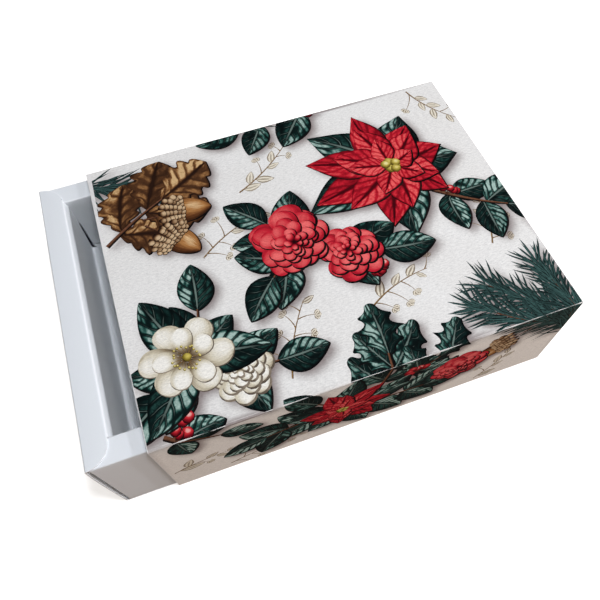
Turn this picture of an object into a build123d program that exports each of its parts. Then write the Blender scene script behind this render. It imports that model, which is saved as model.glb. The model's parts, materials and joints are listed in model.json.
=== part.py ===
from build123d import *
import os
from math import cos, radians

# A sliding box of folded card, in millimetres: a printed sleeve that is open at both ends,
# and a white tray with hollow frame walls that slides in it.
# +Z is up and the origin is the centre of the sleeve's underside. +X runs along the sleeve,
# and its front is at -Y. The tray stands out of the left end, at -X.
# Each blank is one sheet. It is modelled panel by panel, and panels meet where a crease is
# cut through by the plane that halves its bend.

# Sleeve, outside
sleeve_length = 160.0
sleeve_width = 125.0
sleeve_height = 50.0
glue_flap_height = 15.0
seam_tape_thickness = 0.1
seam_tape_width = 10.0
seam_tape_inset = 3.0
seam_edge_lift = 0.15

# Card of both blanks
card = 0.4
sharp_crease = 0.3
soft_crease = 0.8
ply_gap = 0.1

# Tray in the sleeve
side_clearance = 0.3
bottom_clearance = 0.3
top_clearance = 1.0
end_inset = 0.3
shown_pull = 20.7

# Frame walls of the tray
side_rim_width = 9.2
end_rim_width = 9.1
end_wall_bow = 1.25
end_panel_inset = 0.2
side_rim_setback = 0.6

# Compartment of the tray
platform_height = 17.2
platform_side_gap = 1.2
platform_middle_gap = 0.6
slit_height = 17.0
wall_side_gap = 0.15
roll_strip_height = 4.2
roll_strip_lean = 1.1
roll_strip_radius = 9.0
side_wall_tuck = 2.0
support_tab_width = 12.0

# Corner tabs of the tray
corner_tab_length = 26.0
corner_tab_taper = 3.0
corner_tab_clearance = 0.3

# Places that follow from the sizes above
tray_length = sleeve_length - 2 * end_inset
tray_half_length = tray_length / 2
tray_centre_x = tray_half_length - sleeve_length / 2 - shown_pull
flap_face_y = sleeve_width / 2 - card - seam_tape_thickness
tray_half_width = flap_face_y - card - side_clearance
tray_bottom = card + bottom_clearance
tray_top = sleeve_height - card - top_clearance
side_rim_top = tray_top - card - ply_gap
side_wall_end = tray_half_length - card - ply_gap
compartment_half_width = tray_half_width - side_rim_width
compartment_half_length = tray_half_length - end_rim_width - roll_strip_lean
support_tab_top = platform_height - card - ply_gap
end_wall_half_width = tray_half_width - end_panel_inset
end_inner_half_width = compartment_half_width - wall_side_gap
platform_half_width = compartment_half_width - platform_side_gap


class FoldedSheet:
    """A folded sheet in section, drawn along its outer face with the card on the line's right."""

    def __init__(self, corners, inside_radii=None):
        self.corners = [Vector(*corner) for corner in corners]
        self.inside_radii = inside_radii or {}
        self.last = len(corners) - 1

    def bend(self, index):
        """Centre of a bend, with the three ways from it to the arc's start, middle and end."""
        before, corner, after = self.corners[index - 1 : index + 2]
        arriving = (corner - before).normalized()
        leaving = (after - corner).normalized()
        to_centre = (leaving - arriving).normalized()
        card_inside = to_centre.dot(arriving.rotate(Axis.Z, -90)) > 0
        inside = self.inside_radii.get(index, sharp_crease)
        outer_face = inside + card if card_inside else inside
        inner_face = inside if card_inside else inside + card
        half_turn = radians(arriving.get_angle(leaving) / 2)
        centre = corner + to_centre * (outer_face / cos(half_turn))
        side = 90 if card_inside else -90
        ways = (arriving.rotate(Axis.Z, side), -to_centre, leaving.rotate(Axis.Z, side))
        return centre, ways, (outer_face, inner_face)

    def face_line(self, start, end, inner):
        """Edges of one face of the card from the middle of one bend to the middle of another."""
        edges = []
        place = None
        for index in range(start, end + 1):
            if index in (0, self.last):
                here = self.free_end(index, inner)
                if place is not None:
                    edges.append(Line(place, here))
                place = here
                continue
            centre, (way_in, way_middle, way_out), radii = self.bend(index)
            radius = radii[1] if inner else radii[0]
            first, middle, last = (centre + way * radius for way in (way_in, way_middle, way_out))
            if index > start:
                edges.append(Line(place, first))
            if start < index < end:
                edges.append(ThreePointArc(first, middle, last))
            elif index == start:
                between = centre + (way_middle + way_out).normalized() * radius
                edges.append(ThreePointArc(middle, between, last))
            else:
                between = centre + (way_in + way_middle).normalized() * radius
                edges.append(ThreePointArc(first, between, middle))
            place = last
        return edges

    def free_end(self, index, inner):
        """Point of one face at a square cut end of the sheet."""
        corner = self.corners[index]
        neighbour = self.corners[1 if index == 0 else index - 1]
        along = (neighbour - corner if index == 0 else corner - neighbour).normalized()
        return corner + along.rotate(Axis.Z, -90) * card if inner else corner

    def panel(self, start, end):
        """Section of the panel between two creases, or between a crease and a cut end."""
        outer = self.face_line(start, end, inner=False)
        inner = self.face_line(start, end, inner=True)
        cut_start = Line(outer[0] @ 0, inner[0] @ 0)
        cut_end = Line(outer[-1] @ 1, inner[-1] @ 1)
        return make_face([*outer, cut_end, *inner, cut_start])


def along_x(section, half_length):
    """Extrudes a section drawn in Y and Z to the same length on both sides of x = 0."""
    return extrude(Plane.YZ * section, amount=half_length, both=True)


def along_y(section, half_length):
    """Extrudes a section drawn in X and Z to the same length on both sides of y = 0."""
    return extrude(Plane.XZ * section, amount=half_length, both=True)


def along_z(section, bottom, top):
    """Extrudes a section drawn in X and Y between two heights."""
    return extrude(Pos(0, 0, bottom) * section, amount=top - bottom)


def sleeve_section():
    """Sleeve from the glue flap's free edge round to the back panel's free edge."""
    half_width = sleeve_width / 2
    return FoldedSheet(
        [
            (flap_face_y, glue_flap_height),
            (flap_face_y, 0),
            (-half_width, 0),
            (-half_width, sleeve_height),
            (half_width, sleeve_height),
            (half_width, seam_edge_lift),
        ]
    )


def side_section():
    """Base, and the front wall of the tray from the base over the rim to the support tab."""
    inner = -tray_half_width + side_rim_width
    return FoldedSheet(
        [
            (tray_half_width, side_rim_top),
            (tray_half_width, tray_bottom),
            (-tray_half_width, tray_bottom),
            (-tray_half_width, side_rim_top),
            (inner, side_rim_top),
            (inner, support_tab_top),
            (inner + support_tab_width, support_tab_top),
        ]
    )


def end_section():
    """Base, and the left end of the tray from the base over the rim to the platform flap."""
    end = -tray_half_length
    middle = (tray_bottom + tray_top) / 2
    half_height = tray_top - middle
    bow_reach = 2 * end_wall_bow
    bow_radius = (half_height - 2 * (sharp_crease + card)) * half_height / bow_reach
    inner = -compartment_half_length
    return FoldedSheet(
        [
            (-end + bow_reach, middle),
            (-end, tray_bottom),
            (end, tray_bottom),
            (end - bow_reach, middle),
            (end, tray_top),
            (end + end_rim_width, tray_top),
            (inner, tray_top - roll_strip_height),
            (inner, platform_height),
            (-platform_middle_gap / 2, platform_height),
        ],
        {3: bow_radius, 5: soft_crease, 6: roll_strip_radius},
    )


def corner_section():
    """Front wall of the tray in plan, with the corner tabs that turn in at its ends."""
    tab_end = corner_tab_length - tray_half_width
    return FoldedSheet(
        [
            (side_wall_end, tab_end),
            (side_wall_end, -tray_half_width),
            (-side_wall_end, -tray_half_width),
            (-side_wall_end, tab_end),
        ]
    )


def make_sleeve():
    """The sleeve's panels, its glue flap and the tape that closes its seam."""
    sheet = sleeve_section()
    names = ["sleeve_glue_flap", "sleeve_bottom", "sleeve_front", "sleeve_top", "sleeve_back"]
    pieces = {}
    for index, name in enumerate(names):
        pieces[name] = along_x(sheet.panel(index, index + 1), sleeve_length / 2)
    tape = Box(sleeve_length - 2 * seam_tape_inset, seam_tape_thickness, seam_tape_width)
    tape_y = flap_face_y + seam_tape_thickness / 2
    pieces["sleeve_seam_tape"] = Pos(0, tape_y, glue_flap_height / 2) * tape
    return pieces


def make_base():
    """Base of the tray, with half of a bend along each of its four edges."""
    across = along_x(side_section().panel(1, 2), tray_half_length)
    along = along_y(end_section().panel(1, 2), tray_half_width)
    return across & along


def support_tab_plan():
    """Outline of a support tab, whose ends slant in from the crease at 45 degrees."""
    root_half_length = compartment_half_length + side_wall_tuck
    root = -compartment_half_width
    tip = root + support_tab_width
    tip_half_length = root_half_length - support_tab_width
    return make_face(
        Polyline(
            (-root_half_length, root - card),
            (-root_half_length, root),
            (-tip_half_length, tip),
            (tip_half_length, tip),
            (root_half_length, root),
            (root_half_length, root - card),
            close=True,
        )
    )


def make_front_wall():
    """Front frame wall of the tray: outer wall, rim, inner wall and support tab."""
    sheet = side_section()
    inner_half_length = compartment_half_length + side_wall_tuck
    outer_wall = along_x(sheet.panel(2, 3), tray_half_length) & along_z(
        corner_section().panel(1, 2), tray_bottom, side_rim_top
    )
    support_tab = along_x(sheet.panel(5, 6), tray_half_length) & along_z(
        support_tab_plan(), support_tab_top - 2 * card, support_tab_top + 2 * card
    )
    return {
        "outer_wall": outer_wall,
        "rim": along_x(sheet.panel(3, 4), side_wall_end - side_rim_setback),
        "inner_wall": along_x(sheet.panel(4, 5), inner_half_length),
        "support_tab": support_tab,
    }


def corner_tab_outline():
    """Side view of a corner tab, which tapers towards its free end."""
    bottom = tray_bottom + card + corner_tab_clearance
    top = side_rim_top - card - corner_tab_clearance
    root = -tray_half_width
    tip = root + corner_tab_length
    return make_face(
        Polyline(
            (root, bottom),
            (root, top),
            (tip, top - corner_tab_taper),
            (tip, bottom + corner_tab_taper),
            close=True,
        )
    )


def make_front_left_corner_tab():
    """Corner tab that turns in from the front wall behind the left outer wall."""
    in_plan = along_z(corner_section().panel(2, 3), tray_bottom, side_rim_top)
    return in_plan & along_x(corner_tab_outline(), tray_half_length)


def end_rim_block():
    """Space of the left rim and of its ears, quarter ellipses that lie flat on the side rims."""
    straight = Pos(-tray_half_length, 0) * Rectangle(2 * end_rim_width, 2 * end_inner_half_width)
    ear = Ellipse(end_rim_width, end_wall_half_width - end_inner_half_width)
    block = along_z(straight, tray_top - 2 * card, tray_top)
    for side in (-1, 1):
        centre = Pos(-tray_half_length, side * end_inner_half_width)
        block += along_z(centre * ear, tray_top - card, tray_top)
    return block


def end_inner_wall_outline():
    """The left inner wall from inside the tray: its lower half narrows towards the platform."""
    slit_top = platform_height + slit_height
    return make_face(
        Polyline(
            (-end_inner_half_width, tray_top),
            (end_inner_half_width, tray_top),
            (end_inner_half_width, slit_top),
            (platform_half_width, platform_height),
            (platform_half_width, platform_height - card),
            (-platform_half_width, platform_height - card),
            (-platform_half_width, platform_height),
            (-end_inner_half_width, slit_top),
            close=True,
        )
    )


def make_left_wall():
    """Left frame wall of the tray: outer wall, eared rim, inner wall and platform flap."""
    sheet = end_section()
    rim = along_y(sheet.panel(4, 5), end_wall_half_width) & end_rim_block()
    inner_wall = along_y(sheet.panel(5, 7), end_inner_half_width) & along_x(
        end_inner_wall_outline(), tray_half_length
    )
    return {
        "outer_wall": along_y(sheet.panel(2, 4), end_wall_half_width),
        "rim": rim,
        "inner_wall": inner_wall,
        "platform_flap": along_y(sheet.panel(7, 8), platform_half_width),
    }


def make_tray():
    """All panels of the tray, centred on x = 0 as when the box is shut."""
    pieces = {"tray_base": make_base()}
    for name, piece in make_front_wall().items():
        pieces[f"front_{name}"] = piece
        pieces[f"back_{name}"] = mirror(piece, about=Plane.XZ)
    for name, piece in make_left_wall().items():
        pieces[f"left_{name}"] = piece
        pieces[f"right_{name}"] = mirror(piece, about=Plane.YZ)
    tab = make_front_left_corner_tab()
    other_end = mirror(tab, about=Plane.YZ)
    pieces["front_left_corner_tab"] = tab
    pieces["front_right_corner_tab"] = other_end
    pieces["back_left_corner_tab"] = mirror(tab, about=Plane.XZ)
    pieces["back_right_corner_tab"] = mirror(other_end, about=Plane.XZ)
    return pieces


def main():
    """Writes each panel to its own file, with the tray drawn out as far as shown_pull."""
    os.makedirs("parts", exist_ok=True)
    for name, piece in make_sleeve().items():
        export_step(piece, f"parts/{name}.step")
    for name, piece in make_tray().items():
        export_step(Pos(tray_centre_x, 0, 0) * piece, f"parts/{name}.step")


main()
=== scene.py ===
"""Candle box of folded card: a printed sleeve, open at both ends, and a white tray that slides in it.

Lengths are millimetres and angles degrees. A piece is scaled to metres when it is finished.
"""

import functools
import json
import logging
import math
import random
from dataclasses import dataclass, field, replace
from enum import Enum
from typing import Callable, ClassVar, Dict, Iterator, List, Optional, Sequence, Tuple, Union

import bmesh
import bpy
import numpy as np
from mathutils import Matrix, Vector
from mathutils.bvhtree import BVHTree
from mathutils.geometry import delaunay_2d_cdt


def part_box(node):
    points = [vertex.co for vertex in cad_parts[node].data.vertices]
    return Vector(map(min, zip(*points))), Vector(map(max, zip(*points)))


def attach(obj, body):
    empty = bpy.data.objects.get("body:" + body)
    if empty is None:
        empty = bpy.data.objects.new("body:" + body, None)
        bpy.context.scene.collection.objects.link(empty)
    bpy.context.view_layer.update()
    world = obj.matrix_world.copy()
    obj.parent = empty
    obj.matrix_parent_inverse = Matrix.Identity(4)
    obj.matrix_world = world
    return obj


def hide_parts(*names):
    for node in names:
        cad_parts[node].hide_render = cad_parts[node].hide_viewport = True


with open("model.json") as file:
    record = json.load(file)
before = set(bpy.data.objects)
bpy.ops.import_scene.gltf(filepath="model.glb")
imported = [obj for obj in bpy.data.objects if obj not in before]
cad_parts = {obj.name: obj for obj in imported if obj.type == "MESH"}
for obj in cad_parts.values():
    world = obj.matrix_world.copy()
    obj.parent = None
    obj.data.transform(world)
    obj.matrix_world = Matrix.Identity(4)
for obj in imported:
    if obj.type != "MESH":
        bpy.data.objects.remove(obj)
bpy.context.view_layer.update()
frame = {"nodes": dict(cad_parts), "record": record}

log = logging.getLogger("candle_box")

MILLIMETRE = 0.001
CARD = 0.4
SHARP_CREASE = 0.3
SHARP_ANGLE = 40.0
SHEET_HALF_LENGTH = 80.0
SHEET_MAP = "sheet"
MOTIF_MAP = "motif"
TONE = "tone"
SHADOW = "shadow"
GOLDEN_ANGLE = 137.5
BERRY_RADIUS = 2.1

Colour = Tuple[float, float, float, float]
Point = Tuple[float, float]


def srgb(red: float, green: float, blue: float) -> Colour:
    """Linear colour of an sRGB colour.

    Args:
        red: its red part, from 0 to 255.
        green: its green part.
        blue: its blue part.

    Returns:
        The colour, with alpha 1.
    """
    parts = []
    for part in (red, green, blue):
        share = part / 255
        parts.append(share / 12.92 if share <= 0.04045 else ((share + 0.055) / 1.055) ** 2.4)
    return parts[0], parts[1], parts[2], 1.0


PAPER_WHITE = srgb(243, 239, 230)
BARE_CARD = srgb(236, 233, 230)
PRINTED_SHADE = srgb(150, 138, 138)


def math_method(operation: str, swap: bool = False) -> Callable[..., "Value"]:
    """Method of Value that adds a Math node.

    Args:
        operation: the node's operation.
        swap: whether its terms come the other way round.

    Returns:
        The method.
    """

    def method(self: "Value", *others: "Number") -> "Value":
        """What the node gives."""
        terms = (*others, self) if swap else (self, *others)
        return self.graph.math(operation, *terms)

    return method


class Value:
    """A number that varies over a surface. Python's operators on it add Math nodes."""

    def __init__(self, graph: "Graph", socket: bpy.types.NodeSocket) -> None:
        """Keeps the graph and the socket."""
        self.graph = graph
        self.socket = socket

    __add__ = __radd__ = math_method("ADD")
    __sub__ = math_method("SUBTRACT")
    __rsub__ = math_method("SUBTRACT", swap=True)
    __mul__ = __rmul__ = math_method("MULTIPLY")
    __pow__ = math_method("POWER")
    __abs__ = math_method("ABSOLUTE")
    fraction = math_method("FRACT")
    least = math_method("MINIMUM")
    most = math_method("MAXIMUM")

    def rise(self, low: float, high: float) -> "Value":
        """Smooth step of the value. A high under low makes it fall.

        Args:
            low: where it is 0.
            high: where it is 1.

        Returns:
            The step.
        """
        start, end, flip = (low, high, False) if low < high else (high, low, True)
        node = self.graph.node(
            "ShaderNodeMapRange",
            {"interpolation_type": "SMOOTHSTEP"},
            {"Value": self, "From Min": start, "From Max": end},
        )
        step = Value(self.graph, node.outputs["Result"])
        return 1 - step if flip else step


Number = Union[Value, float]
Link = Union[Value, bpy.types.NodeSocket, float, Sequence[float]]


class Graph:
    """Nodes of one material, or of the world."""

    def __init__(self, name: str, world: Optional[bpy.types.World] = None) -> None:
        """Starts with no nodes, in a new material or in the world.

        Args:
            name: name of the new material.
            world: the world, where the nodes are for it.
        """
        self.material = world or bpy.data.materials.new(name)
        self.material.use_nodes = True
        self.tree = self.material.node_tree
        self.tree.nodes.clear()

    def node(
        self,
        kind: str,
        settings: Optional[Dict[str, object]] = None,
        inputs: Optional[Dict[Union[str, int], Link]] = None,
    ) -> bpy.types.Node:
        """Adds a node.

        Args:
            kind: Blender's type name of the node.
            settings: properties, and under "stops" the places and colours of a ramp.
            inputs: values or links of its sockets, by name or number.

        Returns:
            The new node.
        """
        node = self.tree.nodes.new(kind)
        for name, setting in (settings or {}).items():
            if name == "stops":
                self._set_stops(node, setting)
            else:
                setattr(node, name, setting)
        for key, link in (inputs or {}).items():
            socket = node.inputs[key]
            if isinstance(link, Value):
                self.tree.links.new(link.socket, socket)
            elif isinstance(link, bpy.types.NodeSocket):
                self.tree.links.new(link, socket)
            else:
                socket.default_value = link
        return node

    @staticmethod
    def _set_stops(node: bpy.types.Node, stops: Sequence[Tuple[float, Colour]]) -> None:
        """Gives a ramp node its stops.

        Args:
            node: the ramp node.
            stops: their places and colours.
        """
        elements = node.color_ramp.elements
        while len(elements) < len(stops):
            elements.new(1.0)
        for element, (place, colour) in zip(elements, stops):
            element.position = place
            element.color = colour

    def math(self, operation: str, *terms: Number) -> Value:
        """Math node of up to three terms."""
        node = self.node("ShaderNodeMath", {"operation": operation}, dict(enumerate(terms)))
        return Value(self, node.outputs[0])

    def ramp(self, factor: Value, *stops: Tuple[float, Colour]) -> bpy.types.NodeSocket:
        """Colour of a factor between the stops."""
        return self.node("ShaderNodeValToRGB", {"stops": stops}, {0: factor}).outputs[0]

    def mix(self, factor: Link, first: Link, second: Link, way: str = "MIX") -> bpy.types.NodeSocket:
        """Mix of two colours, first where the factor is 0."""
        settings = {"data_type": "RGBA", "blend_type": way}
        return self.node("ShaderNodeMix", settings, {0: factor, 6: first, 7: second}).outputs[2]

    def tint(self, colour: Link, shade: Value) -> bpy.types.NodeSocket:
        """The colour times a grey shade."""
        grey = self.node("ShaderNodeCombineColor", None, {0: shade, 1: shade, 2: shade}).outputs[0]
        return self.mix(1.0, colour, grey, "MULTIPLY")

    def uv(self, name: str) -> Tuple[Value, Value]:
        """The two coordinates of a UV map.

        Args:
            name: the map's name.

        Returns:
            U and V.
        """
        source = self.node("ShaderNodeUVMap", {"uv_map": name})
        parts = self.node("ShaderNodeSeparateXYZ", None, {0: source.outputs[0]})
        return Value(self, parts.outputs[0]), Value(self, parts.outputs[1])

    def attribute(self, name: str) -> Value:
        """A number kept on the mesh."""
        return Value(self, self.node("ShaderNodeAttribute", {"attribute_name": name}).outputs["Fac"])

    def vector(self, x: Number, y: Number, z: Number = 0.0) -> bpy.types.NodeSocket:
        """Vector of three numbers."""
        return self.node("ShaderNodeCombineXYZ", None, {0: x, 1: y, 2: z}).outputs[0]

    def noise(self, place: Link, scale: float, detail: float = 2.0, roughness: float = 0.5) -> Value:
        """Noise from 0 to 1, its mean a half.

        Args:
            place: where it is read.
            scale: its waves for each unit of place.
            detail: how many finer layers it has.
            roughness: strength of each finer layer.

        Returns:
            The noise.
        """
        node = self.node(
            "ShaderNodeTexNoise",
            {"noise_dimensions": "3D"},
            {"Vector": place, "Scale": scale, "Detail": detail, "Roughness": roughness},
        )
        return Value(self, node.outputs[0])

    def finish(
        self,
        colour: Link,
        height: Optional[Value] = None,
        bump: float = 0.3,
        reach: float = 0.0001,
        roughness: Link = 0.7,
        specular: float = 0.3,
    ) -> bpy.types.Material:
        """Closes the material with a Principled shader.

        Args:
            colour: base colour.
            height: relief from 0 to 1, where there is any.
            bump: strength of the relief.
            reach: height of the relief in metres.
            roughness: roughness of the surface.
            specular: strength of its gloss.

        Returns:
            The finished material.
        """
        inputs: Dict[Union[str, int], Link] = {"Base Color": colour, "Roughness": roughness}
        inputs["Specular IOR Level"] = specular
        if height is not None:
            relief = {"Strength": bump, "Distance": reach, "Height": height}
            inputs["Normal"] = self.node("ShaderNodeBump", None, relief).outputs[0]
        shader = self.node("ShaderNodeBsdfPrincipled", None, inputs)
        self.node("ShaderNodeOutputMaterial", None, {0: shader.outputs[0]})
        return self.material


@dataclass(frozen=True)
class PlainCard:
    """White card without print, with its own fleck and depth of fibre."""

    name: str
    colour: Colour
    fleck: float = 0.03
    fibre: float = 0.25

    def material(self) -> bpy.types.Material:
        """Card with faint fibres and clouds, on Object coordinates in metres.

        Returns:
            The finished material.
        """
        graph = Graph(self.name)
        place = graph.node("ShaderNodeTexCoord").outputs["Object"]
        clouds = graph.noise(place, 45.0, 3.0)
        fibres = graph.noise(place, 2600.0, 3.0, 0.6)
        shade = 1 + (clouds - 0.5) * self.fleck + (fibres - 0.5) * self.fleck
        relief_height, roughness, specular = 0.00002, 0.62, 0.25
        colour = graph.tint(self.colour, shade)
        return graph.finish(colour, fibres, self.fibre, relief_height, roughness, specular)


class Outline(Enum):
    """Outline of a motif, by its half-width along it as a share of the widest."""

    LEAF = "leaf"
    BRACT = "bract"
    PETAL = "petal"
    HOLLY = "holly"
    OAK = "oak"
    ROUND = "round"
    NUT = "nut"
    NEEDLE = "needle"
    STEM = "stem"

    def width(self, along: float) -> float:
        """Half-width of the outline.

        Args:
            along: share of the length, from 0 at the root to 1 at the tip.

        Returns:
            Share of the widest half-width.
        """
        if self is Outline.STEM:
            return 1 - 0.55 * along
        if self is Outline.ROUND:
            return 2 * math.sqrt(max(0.0, along * (1 - along)))
        if self is Outline.PETAL:
            return 1.12 * along**0.55 * max(0.0, 1 - along**3.6) ** 0.5
        skew, sharpness = {
            Outline.LEAF: (0.85, 0.8),
            Outline.BRACT: (0.92, 1.1),
            Outline.HOLLY: (0.9, 0.6),
            Outline.OAK: (1.25, 0.7),
            Outline.NUT: (0.75, 0.55),
            Outline.NEEDLE: (0.7, 0.6),
        }[self]
        body = max(0.0, math.sin(math.pi * along**skew)) ** sharpness
        if self is Outline.HOLLY:
            return body * (1 - 0.45 * abs(math.sin(4 * math.pi * along)) ** 0.8)
        if self is Outline.OAK:
            return body * (0.6 + 0.4 * abs(math.sin(5 * math.pi * along)) ** 0.8)
        return body


def polar(origin: Point, angle: float, along: float, side: float = 0.0) -> Point:
    """Point so far along a direction, and so far to the left of it.

    Args:
        origin: where the direction starts.
        angle: the direction, in degrees.
        along: how far along it.
        side: how far to its left.

    Returns:
        The point.
    """
    turn = math.radians(angle)
    x = origin[0] + along * math.cos(turn) - side * math.sin(turn)
    y = origin[1] + along * math.sin(turn) + side * math.cos(turn)
    return x, y


@dataclass(frozen=True)
class Blade:
    """One printed shape, such as a leaf, a petal or a twig, that runs from its root to its tip."""

    ink: "Ink"
    outline: Outline
    root: Point
    angle: float
    length: float
    half_width: float
    bend: float = 0.0
    tone: float = 0.5

    def at(self, along: float, across: float = 0.0) -> Point:
        """Sheet point at a share of the length, and of the outline's half-width."""
        side = across * self.outline.width(along) * self.half_width + self.bend * self.length * along * along
        return polar(self.root, self.angle, along * self.length, side)

    def heading(self, along: float) -> float:
        """Direction of its middle line there, in degrees."""
        return self.angle + math.degrees(math.atan(2 * self.bend * along))

    def edge(self) -> List[Point]:
        """The outline, up one side and down the other.

        Returns:
            Points on the sheet.
        """
        steps = max(4, min(22, round(self.length / 1.1)))
        if self.outline in (Outline.HOLLY, Outline.OAK):
            steps = 40
        if self.outline is Outline.NEEDLE:
            steps = 3
        shares = [(1 - math.cos(math.pi * step / steps)) / 2 for step in range(steps + 1)]
        blunt = self.outline is Outline.STEM
        if not blunt:
            shares = shares[1:-1]
        left = [self.at(share, -1) for share in shares]
        right = [self.at(share, 1) for share in reversed(shares)]
        return left + right if blunt else [self.at(0.0), *left, self.at(1.0), *right]

    def middle(self) -> List[Point]:
        """Points along the middle line and half-way to the edge, where finishes change most.

        Returns:
            Points on the sheet.
        """
        if self.outline in (Outline.NEEDLE, Outline.STEM):
            return []
        steps = max(2, round(self.length / 1.6))
        shares = [(step + 0.5) / steps for step in range(steps)]
        sides = (0.0, -0.5, 0.5) if self.half_width > 2.5 else (0.0,)
        return [self.at(share, across) for share in shares for across in sides]

    def place_of(self, x: float, y: float) -> Point:
        """The reverse of at().

        Args:
            x: place along the sheet.
            y: place up the sheet.

        Returns:
            Share of the length, and of the half-width there.
        """
        turn = math.radians(self.angle)
        over, up = x - self.root[0], y - self.root[1]
        along = (over * math.cos(turn) + up * math.sin(turn)) / self.length
        side = up * math.cos(turn) - over * math.sin(turn) - self.bend * self.length * along * along
        width = self.half_width * max(0.14, self.outline.width(min(1.0, max(0.0, along))))
        return along, max(-1.3, min(1.3, side / width))


def shaded(blade: Blade, gap: "Ink", edge: float = 0.3) -> Iterator[Blade]:
    """The blade over a dark edge that shows most at its lower right.

    Args:
        blade: the shape.
        gap: ink of the edge.
        edge: width of the edge.

    Yields:
        The edge's shape, then the blade.
    """
    root = blade.root[0] + 0.6 * edge, blade.root[1] - edge
    wider = blade.half_width + 0.8 * edge
    yield replace(blade, ink=gap, root=root, length=blade.length + edge, half_width=wider)
    yield blade


def dot(ink: "Ink", centre: Point, radius: float, tone: float) -> Blade:
    """Round shape about a centre."""
    return Blade(ink, Outline.ROUND, (centre[0] - radius, centre[1]), 0, 2 * radius, radius, 0, tone)


@dataclass(frozen=True)
class Motif:
    """Group of printed shapes about a root, with a direction and a length or radius."""

    root: Point
    angle: float
    size: float
    seed: int

    def blades(self) -> Iterator[Blade]:
        """Its shapes, the lowest first."""
        return self.shapes(random.Random(self.seed))

    def shapes(self, draw: random.Random) -> Iterator[Blade]:
        """Its shapes, the lowest first, varied by seeded draws."""
        raise NotImplementedError


@dataclass(frozen=True)
class Star(Motif):
    """Star flower with rings of pointed red bracts over green leaves."""

    lean: float = 0.2

    def shapes(self, draw: random.Random) -> Iterator[Blade]:
        """Leaves, three rings of bracts, and beads in a spiral.

        Args:
            draw: the seeded draws.

        Yields:
            The shapes, the lowest first.
        """
        for count, reach, width, ink, depth in (
            (5, 1.26, 0.34, Ink.LEAF, 0.5),
            (7, 1.0, 0.27, Ink.BRACT, 0.2),
            (6, 0.8, 0.25, Ink.BRACT, 0.55),
            (5, 0.5, 0.18, Ink.BRACT, 0.9),
        ):
            first = self.angle + draw.uniform(0, 360 / count)
            for step in range(count):
                angle = first + 360 * step / count + draw.uniform(-9, 9)
                longer = 1 + self.lean * math.cos(math.radians(angle - self.angle))
                length = self.size * reach * longer * draw.uniform(0.88, 1.08)
                root = polar(self.root, angle, 0.03 * self.size)
                bend = draw.uniform(-0.16, 0.16)
                blade = Blade(ink, Outline.BRACT, root, angle, length, self.size * width, bend, depth)
                yield from shaded(blade, Ink.GAP, 0.4)
        for step in range(11):
            bead = polar(self.root, step * GOLDEN_ANGLE, 0.028 * math.sqrt(step) * self.size)
            yield dot(Ink.BEAD, bead, self.size * 0.075, draw.random())


@dataclass(frozen=True)
class WinterRose(Motif):
    """Open cream flower with a ring of gold stamens."""

    def shapes(self, draw: random.Random) -> Iterator[Blade]:
        """Three leaves, two rings of petals, stamens with their beads, and the middle.

        Args:
            draw: the seeded draws.

        Yields:
            The shapes, the lowest first.
        """
        for step in range(3):
            angle = self.angle + 100 + 110 * step + draw.uniform(-14, 14)
            length, wide = self.size * 1.85, self.size * 0.5
            bend, tone = draw.uniform(-0.15, 0.15), draw.uniform(0.3, 0.8)
            leaf = Blade(Ink.LEAF, Outline.LEAF, self.root, angle, length, wide, bend, tone)
            yield from shaded(leaf, Ink.GAP)
        for count, reach, depth in ((6, 1.0, 0.35), (5, 0.72, 0.8)):
            for step in range(count):
                angle = self.angle + 360 * (step + 0.5 * (count - 5)) / count + draw.uniform(-8, 8)
                length = self.size * reach * draw.uniform(0.92, 1.06)
                bend = draw.uniform(-0.1, 0.1)
                wide = self.size * reach * 0.42
                petal = Blade(Ink.CREAM, Outline.PETAL, self.root, angle, length, wide, bend, depth)
                yield from shaded(petal, Ink.SOFT_GAP, 0.22)
        stamens = 22
        for step in range(stamens):
            angle = 360 * step / stamens + draw.uniform(-6, 6)
            length = self.size * draw.uniform(0.22, 0.34)
            stamen = Blade(Ink.GOLD, Outline.STEM, self.root, angle, length, 0.16)
            yield stamen
            yield dot(Ink.BEAD, stamen.at(1.0), 0.5, 0.9)
        yield dot(Ink.BEAD, self.root, self.size * 0.11, 0.2)


@dataclass(frozen=True)
class Rosette(Motif):
    """Full round flower of many rounded petals in rings."""

    ink: "Ink"
    gap: "Ink"
    lean: float = 0.18

    def shapes(self, draw: random.Random) -> Iterator[Blade]:
        """Rings of petals, the widest first.

        Args:
            draw: the seeded draws.

        Yields:
            The shapes, the lowest first.
        """
        rings = 6
        for ring in range(rings):
            reach = 1 - ring / (rings + 0.6)
            count = round(9 - 0.8 * ring)
            first = draw.uniform(0, 360)
            for step in range(count):
                angle = first + 360 * step / count + draw.uniform(-10, 10)
                longer = 1 + self.lean * math.cos(math.radians(angle - self.angle))
                length = self.size * reach * longer * draw.uniform(0.92, 1.06)
                wide = length * draw.uniform(0.36, 0.46)
                tone = 0.3 + 0.45 * ring / rings + draw.uniform(-0.3, 0.35)
                bend = draw.uniform(-0.16, 0.16)
                petal = Blade(self.ink, Outline.PETAL, self.root, angle, length, wide, bend, tone)
                yield from shaded(petal, self.gap, 0.42)


@dataclass(frozen=True)
class Berries(Motif):
    """Round red berries on short stalks."""

    count: int

    def shapes(self, draw: random.Random) -> Iterator[Blade]:
        """Each stalk with its berry.

        Args:
            draw: the seeded draws.

        Yields:
            The shapes, the lowest first.
        """
        for step in range(self.count):
            angle = self.angle + (step - (self.count - 1) / 2) * 34 + draw.uniform(-8, 8)
            length = draw.uniform(2.2, 4.2) * self.size / 2
            bend = draw.uniform(-0.2, 0.2)
            stalk = Blade(Ink.TWIG, Outline.STEM, self.root, angle, length, 0.3, bend, 0.4)
            yield stalk
            radius = self.size * draw.uniform(0.85, 1.1)
            yield from shaded(dot(Ink.BERRY, stalk.at(1.0), radius, draw.random()), Ink.GAP, 0.16)


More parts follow.
